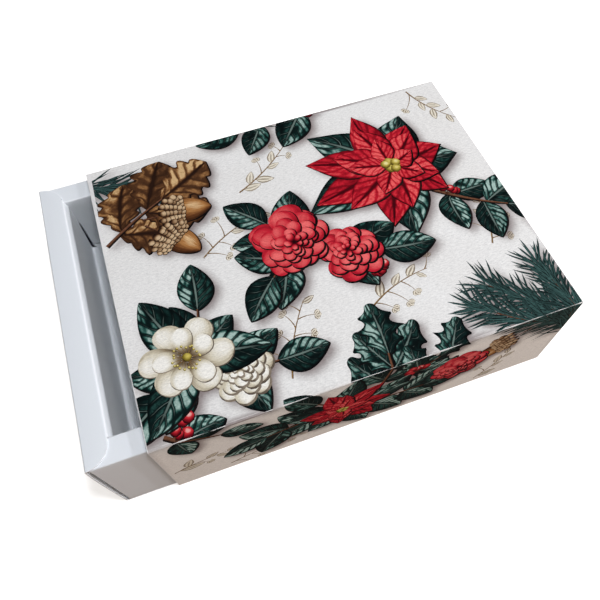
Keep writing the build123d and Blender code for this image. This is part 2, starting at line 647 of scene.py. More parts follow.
@dataclass(frozen=True)
class Branch(Motif):
    """Bent twig with leaves on both sides."""

    leaf: float
    bend: float = 0.12
    outline: Outline = Outline.LEAF
    pairs: int = 3
    berries: int = 0

    def shapes(self, draw: random.Random) -> Iterator[Blade]:
        """Pairs of leaves, the leaf at the tip, the stem, and berries near the root.

        Args:
            draw: the seeded draws.

        Yields:
            The shapes, the lowest first.
        """
        stem = Blade(Ink.TWIG, Outline.STEM, self.root, self.angle, self.size, 0.85, self.bend, 0.5)
        slender = 0.33 if self.outline is Outline.LEAF else 0.42
        ink = Ink.OAK if self.outline is Outline.OAK else Ink.LEAF
        for step in range(self.pairs):
            share = 0.22 + 0.74 * step / max(1, self.pairs - 0.4)
            for side in (-1, 1):
                angle = stem.heading(share) + side * draw.uniform(38, 66)
                length = self.leaf * draw.uniform(0.8, 1.1)
                root = stem.at(min(1.0, share + 0.05 * (side > 0)))
                bend = side * draw.uniform(-0.22, 0.02)
                leaf = Blade(ink, self.outline, root, angle, length, length * slender, bend, draw.random())
                yield from shaded(leaf, Ink.GAP, 0.35)
        top = self.leaf * draw.uniform(0.85, 1.05)
        root, angle = stem.at(0.97), stem.heading(1.0)
        leaf = Blade(ink, self.outline, root, angle, top, top * slender, 0.08, draw.random())
        yield from shaded(leaf, Ink.GAP, 0.35)
        yield from shaded(stem, Ink.GAP, 0.2)
        if self.berries:
            root, angle = stem.at(0.2), self.angle + 80
            yield from Berries(root, angle, BERRY_RADIUS, self.seed + 1, self.berries).blades()


@dataclass(frozen=True)
class FirTwig(Motif):
    """Evergreen twig with short needles all along it."""

    needle: float = 17.0
    bend: float = 0.08

    def shapes(self, draw: random.Random) -> Iterator[Blade]:
        """The stem and three layers of needles, the widest spread first.

        Args:
            draw: the seeded draws.

        Yields:
            The shapes, the lowest first.
        """
        stem = Blade(Ink.TWIG, Outline.STEM, self.root, self.angle, self.size, 0.65, self.bend, 0.3)
        yield stem
        for layer, spread, spacing in ((0, 52, 1.9), (1, 34, 1.9), (2, 16, 2.6)):
            count = round(self.size / spacing)
            for step in range(count):
                share = min(1.0, (step + draw.random()) / count)
                for side in (-1, 1):
                    angle = stem.heading(share) + side * draw.uniform(spread - 13, spread + 9)
                    length = self.needle * draw.uniform(0.75, 1.1) * (1 - 0.3 * share)
                    bend = -side * draw.uniform(0.0, 0.16)
                    tone = 0.1 + 0.2 * layer + draw.uniform(0, 0.4)
                    yield Blade(Ink.NEEDLE, Outline.NEEDLE, stem.at(share), angle, length, 0.5, bend, tone)


@dataclass(frozen=True)
class Acorn(Motif):
    """Brown nut in a scaly cup on a short stalk."""

    def shapes(self, draw: random.Random) -> Iterator[Blade]:
        """The stalk, the nut, and rows of scales from the cup's rim back to the stalk.

        Args:
            draw: the seeded draws.

        Yields:
            The shapes, the lowest first.
        """
        stalk = Blade(Ink.TWIG, Outline.STEM, self.root, self.angle, self.size * 0.32, 0.55, 0.1, 0.4)
        yield stalk
        top = stalk.at(0.9)
        length, half = self.size * 0.92, self.size * 0.31
        nut = Blade(Ink.NUT, Outline.NUT, stalk.at(1.6), self.angle, length, half, 0.0, 0.5)
        yield from shaded(nut, Ink.GAP, 0.3)
        rows, wide = 5, self.size * 0.38
        for row in range(rows, -1, -1):
            depth = self.size * (0.02 + 0.4 * row / rows)
            half = wide * math.sqrt(max(0.08, math.sin(math.pi * (0.16 + 0.5 * row / rows))))
            scales = 4 + row
            for step in range(scales):
                side = half * (-1 + 2 * (step + 0.5 * (row % 2)) / (scales - 0.5))
                if abs(side) > half:
                    continue
                angle = self.angle + 30 * side / half
                length = self.size * draw.uniform(0.17, 0.21)
                root = polar(top, self.angle, depth, side)
                scale = Blade(Ink.SCALE, Outline.PETAL, root, angle, length, length * 0.52, 0, draw.random())
                yield from shaded(scale, Ink.GAP, 0.14)


@dataclass(frozen=True)
class GoldSprig(Motif):
    """Fine gold line drawing of a bent stem with small leaves and buds."""

    bend: float = 0.3
    leaf: float = 8.0

    def shapes(self, draw: random.Random) -> Iterator[Blade]:
        """Leaves and stalks with three buds by turns, then the stem.

        Args:
            draw: the seeded draws.

        Yields:
            The shapes, the lowest first.
        """
        stem = Blade(Ink.GOLD, Outline.STEM, self.root, self.angle, self.size, 0.34, self.bend, 0.5)
        count = max(3, round(self.size / 3.4))
        leafy_share = 0.62
        for step in range(count):
            share = (step + 0.7) / count
            side = 1 if step % 2 else -1
            root, angle = stem.at(share), stem.heading(share) + side * draw.uniform(32, 62)
            length = self.leaf * draw.uniform(0.7, 1.15) * (1.1 - 0.5 * share)
            if draw.random() < leafy_share:
                half, bend, tone = length * 0.26, -side * 0.18, draw.random()
                yield Blade(Ink.LINE_LEAF, Outline.LEAF, root, angle, length, half, bend, tone)
                continue
            stalk = Blade(Ink.GOLD, Outline.STEM, root, angle, length, 0.24, side * 0.3, 0.5)
            yield stalk
            for bud in range(3):
                turn = stalk.heading(1.0) + 50 * (bud - 1)
                yield Blade(Ink.LINE_LEAF, Outline.ROUND, stalk.at(1.0), turn, 2.4, 1.0, 0, draw.random())
        yield stem


@dataclass(frozen=True)
class Paint:
    """What every printed finish shares: the paper's grain, printed shadows and worn edges."""

    name: str
    takes_shadow: ClassVar[bool] = False
    crack_width: ClassVar[float] = 0.32

    def colour(self, graph: Graph) -> Link:
        """Colour of the ink, before the paper's grain."""
        raise NotImplementedError

    @staticmethod
    def on_motif(graph: Graph) -> Tuple[Value, Value, Value]:
        """Share along the motif, share across it from -1 to 1, and the motif's tone."""
        along, side = graph.uv(MOTIF_MAP)
        return along, side, graph.attribute(TONE)

    def material(self, creases: Sequence[float]) -> bpy.types.Material:
        """The finish as a material.

        Args:
            creases: places of the creases on the sheet.

        Returns:
            The finished material.
        """
        graph = Graph(self.name)
        along, up = graph.uv(SHEET_MAP)
        streaks = graph.noise(graph.vector(along * 0.6, up * 2.0), 1.0, 2.0, 0.6)
        grain = 0.4 * graph.noise(graph.vector(along, up), 1.8, 2.0, 0.6) + 0.6 * streaks
        colour = self.colour(graph)
        if self.takes_shadow:
            colour = graph.mix(graph.attribute(SHADOW), colour, PRINTED_SHADE, "MULTIPLY")
        colour = graph.tint(colour, 0.55 + 0.9 * grain)
        bare = self.cracked(graph, streaks, creases).most(self.worn_ends(graph, streaks))
        colour = graph.mix(bare * 0.9, colour, BARE_CARD)
        bump, relief_height, roughness, specular = 0.5, 0.00006, 0.75, 0.03
        return graph.finish(colour, grain, bump, relief_height, roughness, specular)

    def cracked(self, graph: Graph, streaks: Value, creases: Sequence[float]) -> Value:
        """Where the print has cracked along a crease, in some stretches only.

        Args:
            graph: the material's nodes.
            streaks: the paper's streaks, which fray the crack.
            creases: places of the creases on the sheet.

        Returns:
            1 on bare card.
        """
        along, up = graph.uv(SHEET_MAP)
        nearest = functools.reduce(Value.least, [abs(up - crease) for crease in creases])
        wear = graph.noise(graph.vector(along * 0.07, up * 0.02), 1.0, 2.0, 0.5)
        reach = wear.rise(0.36, 0.66) * self.crack_width + (streaks - 0.5) * 0.25
        return (reach - nearest).rise(0.0, 0.06)

    @staticmethod
    def worn_ends(graph: Graph, streaks: Value) -> Value:
        """Where the print stops short of the sheet's cut ends, most at the left end's far part.

        Args:
            graph: the material's nodes.
            streaks: the paper's streaks, which fray the margin.

        Returns:
            1 on bare card.
        """
        along, up = graph.uv(SHEET_MAP)
        margin = up.rise(66.0, 125.0) * 1.5 + 0.12 + 0.3 * streaks
        left = (along + SHEET_HALF_LENGTH - margin).rise(0.08, -0.08)
        right = (SHEET_HALF_LENGTH - along - 0.3 * streaks).rise(0.14, 0.02)
        return left.most(right)


@dataclass(frozen=True)
class PaperPaint(Paint):
    """Bare paper with a faint warm cloud."""

    takes_shadow: ClassVar[bool] = True
    crack_width: ClassVar[float] = 0.02

    def colour(self, graph: Graph) -> Link:
        """White with clouds, lighter and warmer on the front than on the top: the lighter front is painted
        light, the warmth partly a tint of the print and partly painted warm bounce.

        Args:
            graph: the material's nodes.

        Returns:
            The colour.
        """
        along, up = graph.uv(SHEET_MAP)
        clouds = graph.noise(graph.vector(along, up), 0.035, 3.0)
        top_white = graph.ramp(clouds, (0.3, srgb(233, 230, 225)), (0.7, srgb(238, 236, 232)))
        front_white_and_painted_light = graph.ramp(clouds, (0.3, srgb(249, 243, 235)), (0.7, srgb(253, 248, 241)))
        # Painted light: the front panel's white is lighter than the top's, standing in for light on the
        # front; its warmth is partly the print's tint, partly painted warm bounce.
        return graph.mix(up.rise(3.0, -8.0), top_white, front_white_and_painted_light)


@dataclass(frozen=True)
class VeinedPaint(Paint):
    """Leaf or bract with lobes between its side veins."""

    stops: Tuple[Tuple[float, Colour], ...]
    vein: Colour
    veins: float
    slant: float
    vein_strength: float
    ground: float
    shaded_half: float

    def colour(self, graph: Graph) -> Link:
        """Dark hollows and light lobes, with veins between them.

        Args:
            graph: the material's nodes.

        Returns:
            The colour.
        """
        along, side, tone = self.on_motif(graph)
        out = abs(side)
        wander = graph.noise(graph.vector(along * 2.4, side * 1.2, tone * 40.0), 1.0, 1.0)
        lobe = (along * self.veins - out * self.slant + tone * 3.7 + wander * 0.9).fraction()
        fine = graph.vector(along * 16.0 + tone * 31.0, side * 4.0, tone * 17.0)
        streaks = graph.noise(fine, 1.6, 3.0, 0.7)
        patches = graph.noise(graph.vector(along * 3.0, side * 1.6, tone * 29.0), 1.3, 1.0).rise(0.28, 0.56)
        crest = lobe.rise(0.12, 0.42) * lobe.rise(1.0, 0.8)
        lit_half = side.rise(-0.35, 0.3) * (1 - self.shaded_half) + self.shaded_half
        body = self.ground + (1 - self.ground) * crest * patches
        edges = out.rise(0.02, 0.22) * out.rise(1.08, 0.8)
        light = body * edges * lit_half * (0.3 + 1.4 * streaks)
        light = light * (0.6 + 0.55 * tone) * along.rise(-0.1, 0.28)
        colour = graph.ramp(light, *self.stops)
        side_vein = abs(lobe - 0.05).rise(0.06, 0.015) * out.rise(0.9, 0.4) * patches * 0.7
        middle = out.rise(0.08, 0.025) * along.rise(1.0, 0.5)
        return graph.mix(side_vein.most(middle) * self.vein_strength, colour, self.vein)


@dataclass(frozen=True)
class PetalPaint(Paint):
    """Soft petal, dark at its root, with fine hatching along it and a pale rim."""

    stops: Tuple[Tuple[float, Colour], ...]
    root_shade: float = 0.75

    def colour(self, graph: Graph) -> Link:
        """Shaded from the root to a lighter rim.

        Args:
            graph: the material's nodes.

        Returns:
            The colour.
        """
        along, side, tone = self.on_motif(graph)
        hatch = graph.noise(graph.vector(along * 1.6, side * 11.0, tone * 23.0), 2.0, 3.0, 0.7)
        light = along.rise(0.1, self.root_shade) * (0.5 + 0.55 * tone) * (0.66 + 0.34 * side.rise(-0.9, 0.3))
        light = light * (0.55 + 0.45 * abs(side).rise(1.1, 0.4)) * (0.7 + 0.3 * along.rise(1.04, 0.84))
        light = light * (0.6 + 1.1 * hatch) + abs(side).rise(0.8, 1.0) * along.rise(0.5, 0.9) * 0.12
        return graph.ramp(light, *self.stops)


@dataclass(frozen=True)
class BallPaint(Paint):
    """Round berry, bead or nut with a small highlight."""

    stops: Tuple[Tuple[float, Colour], ...]
    streak: float = 0.0

    def colour(self, graph: Graph) -> Link:
        """Light falls from the upper right.

        Args:
            graph: the material's nodes.

        Returns:
            The colour.
        """
        along, side, tone = self.on_motif(graph)
        over = along * 2.0 - 1.25
        up = side - 0.3
        away = (over * over + up * up) ** 0.5
        lines = graph.noise(graph.vector(along * 1.5, side * 8.0, tone * 9.0), 2.0, 2.0)
        light = away.rise(1.5, 0.12) * (0.75 + 0.25 * tone) + (lines - 0.5) * self.streak
        return graph.ramp(light, *self.stops)


@dataclass(frozen=True)
class LinePaint(Paint):
    """Twig, needle or gold line, darker along its edges."""

    dark: Colour
    light: Colour
    breaks: float = 0.0

    def colour(self, graph: Graph) -> Link:
        """Two colours across the line, with small breaks in it.

        Args:
            graph: the material's nodes.

        Returns:
            The colour.
        """
        _, side, tone = self.on_motif(graph)
        over, up = graph.uv(SHEET_MAP)
        uneven = graph.noise(graph.vector(over, up), 0.9, 2.0)
        light = (side + 0.25).rise(-0.6, 0.4) * (0.25 + 0.75 * tone) * (0.4 + 1.2 * uneven)
        colour = graph.mix(light.least(1.0), self.dark, self.light)
        if not self.breaks:
            return colour
        return graph.mix(uneven.rise(0.45, 0.3) * self.breaks, colour, PAPER_WHITE)


@dataclass(frozen=True)
class OutlinePaint(Paint):
    """Small leaf or bud drawn by its edge and its middle line alone, on paper."""

    line: Colour
    takes_shadow: ClassVar[bool] = True
    crack_width: ClassVar[float] = 0.02

    def colour(self, graph: Graph) -> Link:
        """Line colour at the edge and the middle, paper between.

        Args:
            graph: the material's nodes.

        Returns:
            The colour.
        """
        along, side, tone = self.on_motif(graph)
        out = abs(side)
        drawn = out.rise(0.5, 0.8).most(out.rise(0.3, 0.1) * along.rise(0.9, 0.6) * 0.8)
        ends = along.rise(0.12, 0.02).most(along.rise(0.88, 0.97))
        tint = graph.mix(0.35, PAPER_WHITE, srgb(226, 206, 160))
        return graph.mix(drawn.most(ends) * (0.65 + 0.35 * tone), tint, self.line)


def ramp_stops(*rows: Tuple[float, float, float, float]) -> Tuple[Tuple[float, Colour], ...]:
    """Stops of a ramp, each from its place and the three parts of its sRGB colour."""
    return tuple((place, srgb(*parts)) for place, *parts in rows)


class Ink(Enum):
    """Inks of the print, in the order of the sleeve's material slots."""

    PAPER = PaperPaint("printed_paper")
    GAP = LinePaint("ink_gap", srgb(10, 9, 10), srgb(30, 22, 22))
    SOFT_GAP = LinePaint("soft_gap", srgb(96, 84, 72), srgb(150, 136, 118))
    LEAF = VeinedPaint(
        "leaf_green",
        ramp_stops((0.0, 5, 10, 11), (0.22, 14, 35, 33), (0.5, 54, 97, 88), (1.0, 170, 194, 184)),
        srgb(140, 162, 152), 6.5, 1.9, 0.55, 0.12, 0.3,
    )
    OAK = VeinedPaint(
        "oak_brown",
        ramp_stops((0.0, 34, 19, 13), (0.3, 88, 56, 34), (0.6, 152, 108, 66), (1.0, 214, 178, 128)),
        srgb(44, 26, 18), 5.5, 1.4, 0.8, 0.35, 0.5,
    )
    BRACT = VeinedPaint(
        "bract_red",
        ramp_stops((0.0, 44, 4, 10), (0.22, 130, 12, 26), (0.5, 196, 30, 46), (1.0, 238, 98, 96)),
        srgb(84, 8, 18), 6.0, 1.8, 0.7, 0.5, 0.62,
    )
    PETAL = PetalPaint(
        "petal_red",
        ramp_stops((0.0, 36, 4, 10), (0.2, 130, 14, 28), (0.45, 200, 36, 52), (0.95, 240, 110, 108)),
        0.85,
    )
    CREAM = PetalPaint(
        "petal_cream",
        ramp_stops((0.0, 74, 62, 50), (0.2, 146, 130, 104), (0.45, 214, 204, 180), (0.85, 248, 244, 234)),
    )
    BERRY = BallPaint(
        "berry_red",
        ramp_stops((0.0, 44, 4, 10), (0.4, 150, 20, 32), (0.8, 208, 52, 58), (1.0, 246, 190, 180)),
    )
    BEAD = BallPaint(
        "bead_yellow",
        ramp_stops((0.0, 58, 44, 20), (0.4, 142, 124, 44), (0.8, 206, 186, 92), (1.0, 244, 232, 170)),
    )
    NUT = BallPaint(
        "nut_brown",
        ramp_stops((0.0, 36, 19, 12), (0.4, 108, 64, 34), (0.75, 176, 122, 70), (1.0, 236, 204, 156)),
        0.5,
    )
    SCALE = PetalPaint(
        "cup_scale",
        ramp_stops((0.0, 22, 13, 9), (0.25, 70, 46, 32), (0.5, 142, 108, 76), (0.9, 208, 178, 140)),
    )
    NEEDLE = LinePaint("needle_green", srgb(7, 11, 13), srgb(62, 92, 88))
    TWIG = LinePaint("twig_brown", srgb(26, 15, 12), srgb(134, 88, 64))
    GOLD = LinePaint("gold_line", srgb(82, 60, 36), srgb(158, 122, 72), 0.4)
    LINE_LEAF = OutlinePaint("gold_outline", srgb(102, 78, 46))


@dataclass(frozen=True)
class Run:
    """Straight run or bend of a folded face. A bend has a signed radius, positive where it turns inwards."""

    start: float
    end: float
    first: Vector
    way: Vector
    radius: float = 0.0

    def at(self, place: float) -> Tuple[Vector, Vector]:
        """Point and outward direction on the run.

        Args:
            place: place along the whole face.

        Returns:
            The point and the direction, both in the section.
        """
        outward = Vector((-self.way.y, self.way.x))
        if not self.radius:
            return self.first + self.way * (place - self.start), outward
        angle = (place - self.start) / self.radius
        turned = Vector(
            (outward.x * math.cos(angle) - outward.y * math.sin(angle),
             outward.x * math.sin(angle) + outward.y * math.cos(angle))
        )
        centre = self.first + outward * self.radius
        return centre - turned * self.radius, turned


def run_at(runs: Sequence[Run], place: float) -> Run:
    """The run that holds a place along the face, or the last one."""
    return next((run for run in runs if place <= run.end + 1e-6), runs[-1])


@dataclass(frozen=True)
class FoldPath:
    """Outer face of a folded sheet in section, with the card on the line's right."""

    corners: Sequence[Point]
    inside_radii: Dict[int, float] = field(default_factory=dict)

    def runs(self) -> List[Run]:
        """The face's straight runs and bends.

        Returns:
            The runs in their order.
        """
        points = [Vector(corner) for corner in self.corners]
        found = []
        place, here = 0.0, points[0]
        for index in range(1, len(points)):
            way = (points[index] - points[index - 1]).normalized()
            trim, bend = 0.0, 0.0
            if index < len(points) - 1:
                onward = (points[index + 1] - points[index]).normalized()
                angle = way.angle_signed(onward)
                inside = self.inside_radii.get(index, SHARP_CREASE)
                radius = inside + CARD if angle > 0 else inside
                trim = radius * math.tan(abs(angle) / 2)
                bend = -math.copysign(radius, angle)
            end = points[index] - way * trim
            length = (end - here).length
            found.append(Run(place, place + length, here, way))
            place += length
            if bend:
                turn = abs(angle) * radius
                found.append(Run(place, place + turn, end, way, bend))
                place += turn
                here = points[index] + onward * trim
        return found

    def bends(self) -> List[Tuple[float, float]]:
        """Start and end of each bend along the face."""
        return [(run.start, run.end) for run in self.runs() if run.radius]

    def length(self) -> float:
        """Length of the face."""
        return self.runs()[-1].end

    def fold(self, shape: bmesh.types.BMesh) -> None:
        """Bends a flat slab.

        Args:
            shape: the slab, whose Y runs along the face and Z out of it, its outer face at Z 0.
        """
        runs = self.runs()
        for vert in shape.verts:
            across, place, height = vert.co
            point, outward = run_at(runs, place).at(place)
            point = point + outward * height
            vert.co = (across, point.x, point.y)


def finish_piece(
    name: str, shape: bmesh.types.BMesh, materials: Sequence[bpy.types.Material], body: str,
    nodes: Sequence[str],
) -> bpy.types.Object:
    """Makes an object of a shape in millimetres, its bends smooth and its cut edges sharp.

    Args:
        name: the object's name.
        shape: its shape, which is freed.
        materials: its materials in the order of the faces' indices.
        body: the body that it rides on.
        nodes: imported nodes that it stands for.

    Returns:
        The finished object.
    """
    bmesh.ops.transform(shape, matrix=Matrix.Scale(MILLIMETRE, 4), verts=shape.verts)
    mesh = bpy.data.meshes.new(name)
    shape.to_mesh(mesh)
    shape.free()
    for material in materials:
        mesh.materials.append(material)
    for polygon in mesh.polygons:
        polygon.use_smooth = True
    mesh.set_sharp_from_angle(angle=math.radians(SHARP_ANGLE))
    piece = bpy.data.objects.new(name, mesh)
    bpy.context.collection.objects.link(piece)
    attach(piece, body)
    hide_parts(*nodes)
    log.info("%s: %d faces, rides on %s", name, len(mesh.polygons), body)
    return piece


class DropShadows:
    """Soft printed shadows, kept as a raster of one millimetre over the sheet."""

    margin = 12
    offset = (1.6, -1.9)
    blur = 1.3
    blur_reach = 6

    def __init__(self, half_length: float, low: float, high: float, blades: Sequence[Blade]) -> None:
        """Marks the shapes that cast a shadow, then blurs them.

        Args:
            half_length: half the sheet's length.
            low: the sheet's lower end.
            high: its upper end.
            blades: the printed shapes.
        """
        self.origin = (-half_length - self.margin, low - self.margin)
        columns = int(2 * (half_length + self.margin)) + 1
        rows = int(high - low + 2 * self.margin) + 1
        self.raster = np.zeros((rows, columns))
        for blade in blades:
            if blade.ink not in (Ink.GOLD, Ink.LINE_LEAF):
                self.stamp(blade.edge())
        reach = np.arange(-self.blur_reach, self.blur_reach + 1)
        kernel = np.exp(-(reach**2) / (2 * self.blur**2))
        kernel /= kernel.sum()
        for axis in (0, 1):
            shifted = [weight * np.roll(self.raster, step, axis) for step, weight in zip(reach, kernel)]
            self.raster = sum(shifted)

    def stamp(self, outline: Sequence[Point]) -> None:
        """Marks the cells whose middles lie in an outline that is moved by the shadow's offset.

        Args:
            outline: the printed shape's outline.
        """
        points = np.array(outline) + np.array(self.offset) - np.array(self.origin)
        low = np.maximum(np.floor(points.min(axis=0)).astype(int), 0)
        high = np.minimum(np.ceil(points.max(axis=0)).astype(int) + 1, self.raster.shape[::-1])
        if (high <= low).any():
            return
        x, y = np.meshgrid(np.arange(low[0], high[0]), np.arange(low[1], high[1]))
        inside = np.zeros(x.shape, bool)
        for (x0, y0), (x1, y1) in zip(points, np.roll(points, -1, axis=0)):
            if y0 == y1:
                continue
            crosses = (y0 > y) != (y1 > y)
            inside ^= crosses & (x < (x1 - x0) * (y - y0) / (y1 - y0) + x0)
        region = self.raster[low[1] : high[1], low[0] : high[0]]
        region[inside] = 1.0

    def at(self, x: float, y: float) -> float:
        """Strength of the shadow.

        Args:
            x: place along the sheet.
            y: place up the sheet.

        Returns:
            0 in the open, 1 in full shadow.
        """
        column, row = x - self.origin[0], y - self.origin[1]
        left, bottom = int(column), int(row)
        right_share, top_share = column - left, row - bottom
        cells = self.raster[bottom : bottom + 2, left : left + 2]
        lower = cells[0, 0] * (1 - right_share) + cells[0, 1] * right_share
        upper = cells[1, 0] * (1 - right_share) + cells[1, 1] * right_share
        return float(lower * (1 - top_share) + upper * top_share)


class PrintCover:
    """Which printed shape lies on top at each point of the sheet, and the outlines that stay visible."""

    def __init__(self, corners: Sequence[Vector], blades: Sequence[Blade]) -> None:
        """Divides the sheet along the outlines of its shapes.

        Args:
            corners: the sheet's corners, from its lower left round.
            blades: the shapes, the lowest first.
        """
        self.blades = blades
        self.low, self.high = corners[0], corners[2]
        points = list(corners)
        faces = [list(range(len(corners)))]
        for blade in blades:
            outline = blade.edge()
            faces.append(list(range(len(points), len(points) + len(outline))))
            points += [Vector(point) for point in outline]
        places, _, cells, _, _, owners = delaunay_2d_cdt(points, [], faces, 0, 1e-4)
        self.places = [place.to_3d() for place in places]
        kept = [(cell, max(owner)) for cell, owner in zip(cells, owners) if 0 in owner]
        self.cells = [cell for cell, _ in kept]
        self.top = [owner for _, owner in kept]
        self.tree = BVHTree.FromPolygons(self.places, self.cells)

    def blade_at(self, place: Vector) -> Optional[Blade]:
        """The printed shape on top there, or None on bare paper."""
        cell = self.tree.find_nearest(place)[2]
        return self.blades[self.top[cell] - 1] if self.top[cell] else None

    def visible_lines(self) -> Tuple[List[Vector], List[Tuple[int, int]]]:
        """Lines where the shape on top changes, and the sheet's own edges, with no needless points.

        Returns:
            The points, and each line as two numbers of points.
        """
        sides: Dict[Tuple[int, int], List[int]] = {}
        for cell, owner in zip(self.cells, self.top):
            for first, second in zip(cell, cell[1:] + cell[:1]):
                sides.setdefault((min(first, second), max(first, second)), []).append(owner)
        wires = bmesh.new()
        verts: Dict[int, bmesh.types.BMVert] = {}
        for edge, owners in sides.items():
            if len(owners) == 2 and owners[0] == owners[1]:
                continue
            for index in edge:
                if index not in verts:
                    verts[index] = wires.verts.new(self.places[index])
            wires.edges.new([verts[index] for index in edge])
        straight = math.radians(2.0)
        bmesh.ops.dissolve_limit(
            wires, angle_limit=straight, use_dissolve_boundaries=False, verts=wires.verts, edges=wires.edges
        )
        wires.verts.index_update()
        points = [vert.co.xy for vert in wires.verts]
        edges = [(edge.verts[0].index, edge.verts[1].index) for edge in wires.edges]
        log.info("print: %d shapes, %d outline points show", len(self.blades), len(points))
        wires.free()
        return points, edges

    def inner_points(self) -> List[Vector]:
        """Points inside the shapes, where they are on top.

        Returns:
            Points on the sheet.
        """
        found = []
        for blade in self.blades:
            for x, y in blade.middle():
                inside = self.low.x < x < self.high.x and self.low.y < y < self.high.y
                if inside and self.blade_at(Vector((x, y, 0))) is blade:
                    found.append(Vector((x, y)))
        return found


@dataclass
class Sleeve:
    """Printed sleeve: one sheet of card, folded round the tray and closed along its back."""

    half_length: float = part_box("sleeve_top")[1][0] / MILLIMETRE
    half_width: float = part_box("sleeve_top")[1][1] / MILLIMETRE
    height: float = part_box("sleeve_top")[1][2] / MILLIMETRE
    flap_height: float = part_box("sleeve_glue_flap")[1][2] / MILLIMETRE
    flap_face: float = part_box("sleeve_glue_flap")[1][1] / MILLIMETRE
    edge_lift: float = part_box("sleeve_back")[0][2] / MILLIMETRE
    grid: float = 2.1
    bend_steps: int = 6
    guard: float = 0.25
    row_share: float = 0.866
    snap: float = 0.02

    def path(self) -> FoldPath:
        """Outer face from the glue flap round to the back panel's free edge.

        Returns:
            The path in section.
        """
        return FoldPath(
            (
                (self.flap_face, self.flap_height),
                (self.flap_face, 0.0),
                (-self.half_width, 0.0),
                (-self.half_width, self.height),
                (self.half_width, self.height),
                (self.half_width, self.edge_lift),
            )
        )

    def motifs(self) -> List[Motif]:
        """The print's motifs. Y is 0 at the front crease of the top.

        Returns:
            The motifs, the lowest first.
        """
        return [
            GoldSprig((-44.0, 66.0), 40.0, 30.0, 401, -0.25),
            GoldSprig((62.0, 34.0), 62.0, 24.0, 402, 0.3),
            GoldSprig((-28.0, 8.0), 75.0, 30.0, 403, -0.2),
            GoldSprig((-22.0, 92.0), 25.0, 32.0, 404, 0.2),
            GoldSprig((66.0, 122.0), -75.0, 26.0, 405, 0.3),
            GoldSprig((8.0, 24.0), 35.0, 26.0, 407, -0.3),
            GoldSprig((-58.0, -44.0), 24.0, 30.0, 408, -0.2),
            GoldSprig((48.0, -46.0), 50.0, 22.0, 409, 0.2),
            GoldSprig((-78.0, -32.0), 30.0, 22.0, 410, -0.3),
            FirTwig((-84.0, 118.0), -22.0, 44.0, 44, bend=-0.12),
            Branch((-78.0, 84.0), 38.0, 30.0, 11, 25.0, -0.1, Outline.OAK, pairs=2),
            Acorn((-62.0, 92.0), -8.0, 19.0, 12),
            Acorn((-62.0, 89.0), -50.0, 18.0, 13),
            Branch((28.0, 130.0), 192.0, 42.0, 21, 22.0, -0.1, pairs=2, berries=3),
            Branch((52.0, 66.0), -42.0, 30.0, 22, 21.0, 0.14, pairs=2, berries=4),
            Star((42.0, 84.0), 200.0, 29.0, 31),
            Branch((-8.0, 60.0), 118.0, 16.0, 25, 22.0, 0.1, pairs=1),
            Branch((4.0, 52.0), -24.0, 18.0, 26, 22.0, 0.1, pairs=1),
            Branch((-12.0, 56.0), 212.0, 12.0, 27, 20.0, 0.1, pairs=1),
            Berries((16.0, 40.0), -60.0, BERRY_RADIUS, 62, 5),
            Rosette((9.0, 51.0), 300.0, 12.5, 53, Ink.PETAL, Ink.GAP),
            Rosette((-9.0, 61.0), 120.0, 16.0, 54, Ink.PETAL, Ink.GAP),
            FirTwig((86.0, -20.0), 128.0, 52.0, 41),
            FirTwig((84.0, -16.0), 152.0, 50.0, 42, bend=-0.1),
            FirTwig((82.0, -24.0), 104.0, 46.0, 43, bend=-0.05),
            Acorn((62.0, -8.0), 210.0, 18.0, 14),
            Branch((-74.0, 3.0), -36.0, 20.0, 35, 15.0, 0.14, pairs=1, berries=3),
            Branch((-58.0, 24.0), 68.0, 22.0, 28, 22.0, 0.1, pairs=1),
            Branch((-50.0, 20.0), -20.0, 20.0, 29, 22.0, 0.15, pairs=1),
            Branch((-60.0, 22.0), 200.0, 12.0, 30, 22.0, 0.1, pairs=1),
            Berries((-66.0, 10.0), 240.0, BERRY_RADIUS, 63, 4),
            Rosette((-44.0, 18.0), 300.0, 11.0, 55, Ink.CREAM, Ink.SOFT_GAP),
            WinterRose((-60.0, 28.0), 20.0, 16.0, 51),
            Branch((2.0, -14.0), 72.0, 20.0, 23, 22.0, 0.1, Outline.HOLLY, pairs=2),
            Branch((14.0, -14.0), 38.0, 14.0, 34, 20.0, 0.1, Outline.HOLLY, pairs=1, berries=6),
            Branch((-16.0, -24.0), 178.0, 26.0, 24, 20.0, 0.15, pairs=2, berries=3),
            Branch((-8.0, -30.0), 6.0, 30.0, 36, 20.0, -0.12, pairs=2),
            Branch((-14.0, -22.0), 118.0, 14.0, 37, 18.0, 0.1, pairs=1),
            Star((-12.0, -26.0), 40.0, 18.0, 33),
            Rosette((36.0, -24.0), 80.0, 12.0, 56, Ink.PETAL, Ink.GAP),
            *self.back_and_bottom(),
        ]

    def back_and_bottom(self) -> List[Motif]:
        """Sparser motifs on the back panel and the underside.

        Returns:
            The motifs, the lowest first.
        """
        back = 125.0 + 25.0
        under = -50.0 - 62.0
        return [
            Branch((-56.0, back - 4.0), 14.0, 28.0, 71, 20.0, 0.15, Outline.HOLLY, pairs=2, berries=4),
            Star((52.0, back + 2.0), 70.0, 17.0, 72),
            FirTwig((-10.0, back - 22.0), 60.0, 34.0, 73),
            FirTwig((-8.0, back - 22.0), 28.0, 36.0, 76),
            GoldSprig((-20.0, back - 10.0), 100.0, 26.0, 74),
            Branch((-40.0, under - 20.0), 70.0, 36.0, 81, 22.0, 0.15, pairs=3, berries=3),
            Star((34.0, under + 8.0), 10.0, 24.0, 82),
            GoldSprig((-10.0, under), 20.0, 30.0, 83),
            GoldSprig((60.0, under - 46.0), 100.0, 28.0, 84),
            Acorn((-14.0, under + 34.0), 30.0, 18.0, 85),
            GoldSprig((-70.0, under + 34.0), -10.0, 30.0, 86),
            WinterRose((-58.0, under - 36.0), 60.0, 13.0, 87),
        ]

